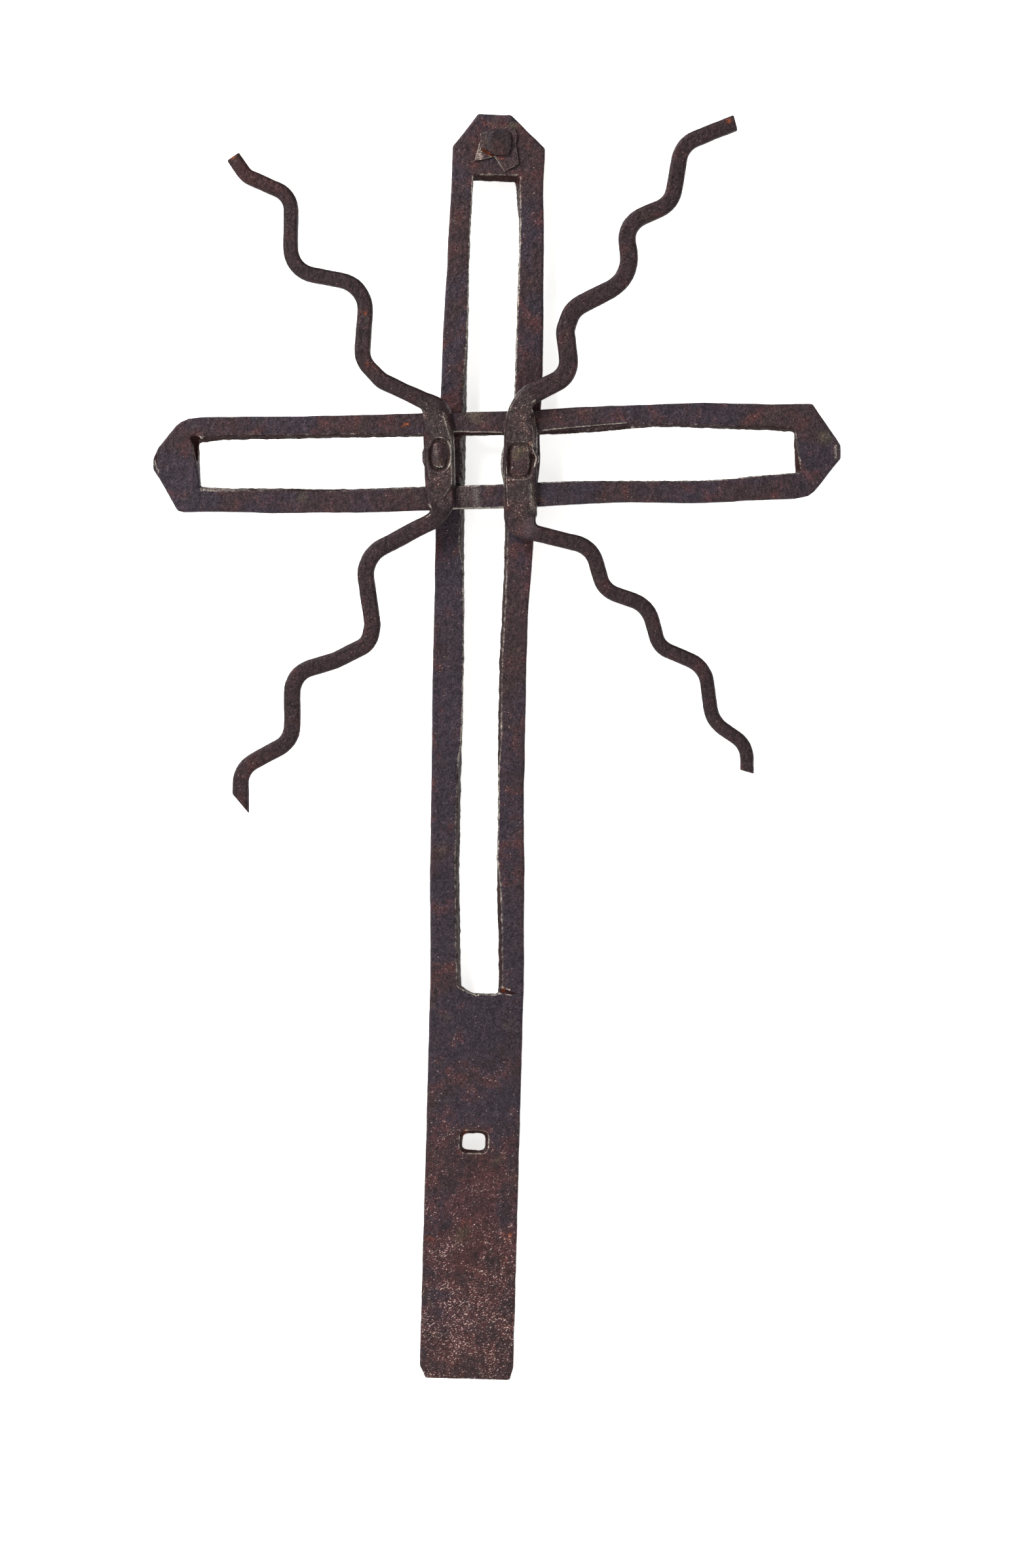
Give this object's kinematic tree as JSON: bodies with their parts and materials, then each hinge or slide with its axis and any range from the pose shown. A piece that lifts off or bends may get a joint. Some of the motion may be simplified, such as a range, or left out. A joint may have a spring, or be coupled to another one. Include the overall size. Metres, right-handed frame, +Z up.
{
  "type": "wrought iron cross",
  "caption": "Hand-forged wrought iron cross of slotted flat bars with waved rays riveted at the crossing and a plain shank with a fixing hole.",
  "frame": {"origin": "on the shank's back face, in the middle of its width, 92.4 mm above the foot", "axes": "+Z up the upright to the head, +Y out of the back towards the post or wall, +X to the right seen from the front"},
  "size_m": [0.331, 0.018, 0.6111],
  "materials": {
    "scaled_iron": "forge scale with thin brown rust",
    "ray_iron": "hammered, forge scale with thin brown rust",
    "rivet_iron": "peened and worn",
    "rusted_sheet": "torn and rusted"
  },
  "bodies": {
    "root": {"upright": "scaled_iron", "crossbar": "scaled_iron", "left_ray": "ray_iron", "right_ray": "ray_iron", "left_rivet": "rivet_iron", "right_rivet": "rivet_iron", "head_patch": "rusted_sheet", "head_rivet": "rivet_iron"}
  },
  "joints": []
}
